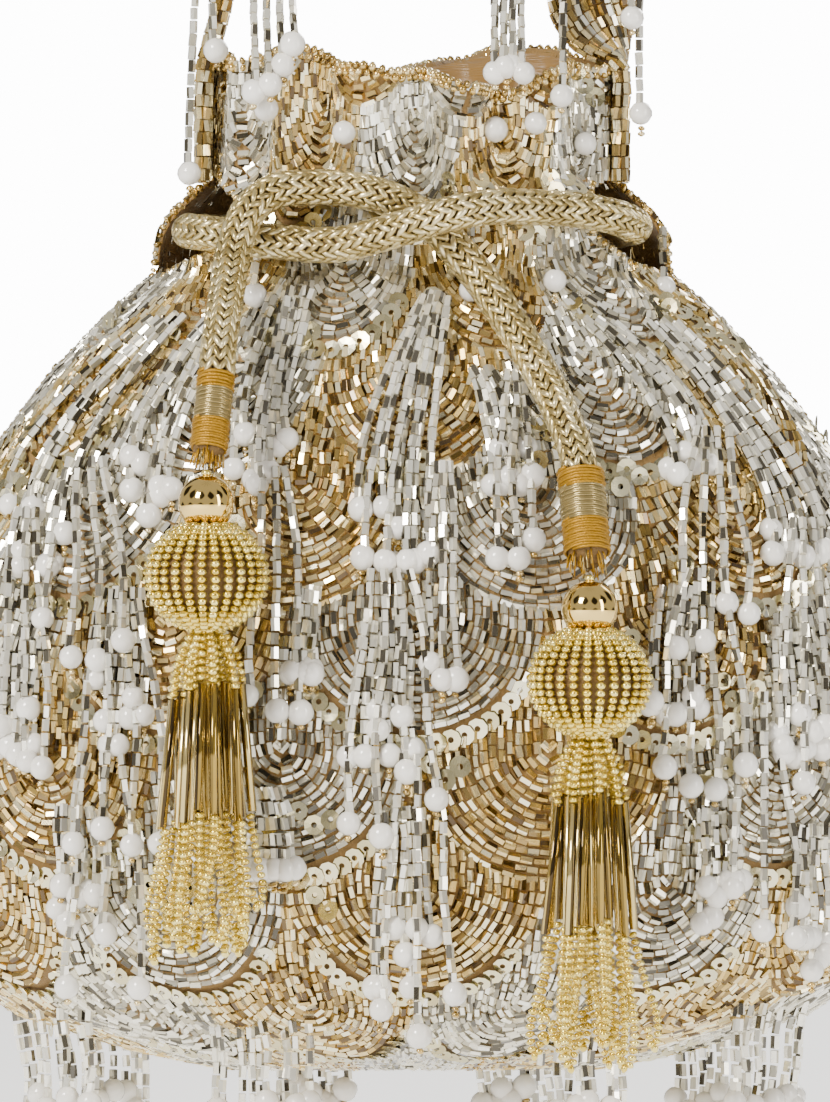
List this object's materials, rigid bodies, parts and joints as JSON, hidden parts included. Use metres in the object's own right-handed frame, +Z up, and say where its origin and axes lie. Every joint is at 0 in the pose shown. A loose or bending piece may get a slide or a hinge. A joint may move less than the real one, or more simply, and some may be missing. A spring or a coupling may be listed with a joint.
{
  "type": "potli bag",
  "caption": "Small gathered drawstring bag of beaded cloth with a satin lining, a band handle, bead-strand fringes and tasselled metallic cord.",
  "frame": {"origin": "middle of the flat underside of the handle's top, where a peg or a hand carries the bag", "axes": "+Z up, the front with the tassels faces -Y, +X to the right as seen from the front"},
  "size_m": [0.205, 0.1278, 0.3195],
  "materials": {
    "clear_bead_strands": "clear silver-lined glass tube beads on thread, with white pearls at their ends",
    "beaded_cloth": "golden brown cloth covered with gold-lined and silver-lined tube beads and flat sequins",
    "satin_lining": "brown satin with a fine rib",
    "metallic_cord": "tubular knit of pale gold metallic ribbon yarn",
    "silk_thread": "orange-gold silk thread wound round the cord's end",
    "polished_gold_ball": "polished gold-coloured ball",
    "gold_seed_beads": "gold-lined glass seed beads and long tubes",
    "beaded_band": "cloth band covered with rows of gold-lined tube beads"
  },
  "bodies": {
    "bag": {"back_hem_fringe_1": "clear_bead_strands", "back_hem_fringe_2": "clear_bead_strands", "back_hem_fringe_3": "clear_bead_strands", "back_hem_fringe_4": "clear_bead_strands", "back_low_fringe_1": "clear_bead_strands", "back_low_fringe_2": "clear_bead_strands", "back_low_fringe_3": "clear_bead_strands", "back_low_fringe_4": "clear_bead_strands", "back_middle_fringe_1": "clear_bead_strands", "back_middle_fringe_2": "clear_bead_strands", "back_middle_fringe_3": "clear_bead_strands", "back_middle_fringe_4": "clear_bead_strands", "back_neck_fringe_1": "clear_bead_strands", "back_neck_fringe_2": "clear_bead_strands", "back_neck_fringe_3": "clear_bead_strands", "back_neck_fringe_4": "clear_bead_strands", "back_neck_fringe_5": "clear_bead_strands", "back_neck_fringe_6": "clear_bead_strands", "back_panel": "beaded_cloth", "drawstring_casing_run": "metallic_cord", "drawstring_front_run": "metallic_cord", "front_hem_fringe_1": "clear_bead_strands", "front_hem_fringe_2": "clear_bead_strands", "front_hem_fringe_3": "clear_bead_strands", "front_hem_fringe_4": "clear_bead_strands", "front_low_fringe_1": "clear_bead_strands", "front_low_fringe_2": "clear_bead_strands", "front_low_fringe_3": "clear_bead_strands", "front_low_fringe_4": "clear_bead_strands", "front_low_fringe_5": "clear_bead_strands", "front_middle_fringe_1": "clear_bead_strands", "front_middle_fringe_2": "clear_bead_strands", "front_middle_fringe_3": "clear_bead_strands", "front_middle_fringe_4": "clear_bead_strands", "front_middle_fringe_5": "clear_bead_strands", "front_middle_fringe_6": "clear_bead_strands", "front_neck_fringe_1": "clear_bead_strands", "front_neck_fringe_2": "clear_bead_strands", "front_neck_fringe_3": "clear_bead_strands", "front_neck_fringe_4": "clear_bead_strands", "front_neck_fringe_5": "clear_bead_strands", "front_neck_fringe_6": "clear_bead_strands", "front_neck_fringe_7": "clear_bead_strands", "front_panel": "beaded_cloth", "handle_band": "beaded_band", "handle_fringe_left": "clear_bead_strands", "handle_fringe_right": "clear_bead_strands", "lining_back": "satin_lining", "lining_front": "satin_lining", "tassel_cord": "metallic_cord", "whipping_left": "silk_thread", "whipping_right": "silk_thread"},
    "left_ball": {"gold_ball_left": "polished_gold_ball"},
    "left_tassel": {"beaded_ball_left": "gold_seed_beads", "tassel_skirt_left": "gold_seed_beads"},
    "right_ball": {"gold_ball_right": "polished_gold_ball"},
    "right_tassel": {"beaded_ball_right": "gold_seed_beads", "tassel_skirt_right": "gold_seed_beads"}
  },
  "joints": [
    {"name": "left_tassel_swing", "type": "hinge", "parent": "bag", "child": "left_ball", "pos_m": [-0.0398, -0.064, -0.1827], "axis": [-1, 0, 0], "range_deg": [0, 70]},
    {"name": "left_tassel_twirl", "type": "hinge", "parent": "left_ball", "child": "left_tassel", "pos_m": [-0.0398, -0.064, -0.2022], "axis": [0, 0, 1], "continuous": true},
    {"name": "right_tassel_swing", "type": "hinge", "parent": "bag", "child": "right_ball", "pos_m": [0.0344, -0.064, -0.2031], "axis": [-1, 0, 0], "range_deg": [0, 70]},
    {"name": "right_tassel_twirl", "type": "hinge", "parent": "right_ball", "child": "right_tassel", "pos_m": [0.0344, -0.064, -0.2226], "axis": [0, 0, 1], "continuous": true}
  ]
}
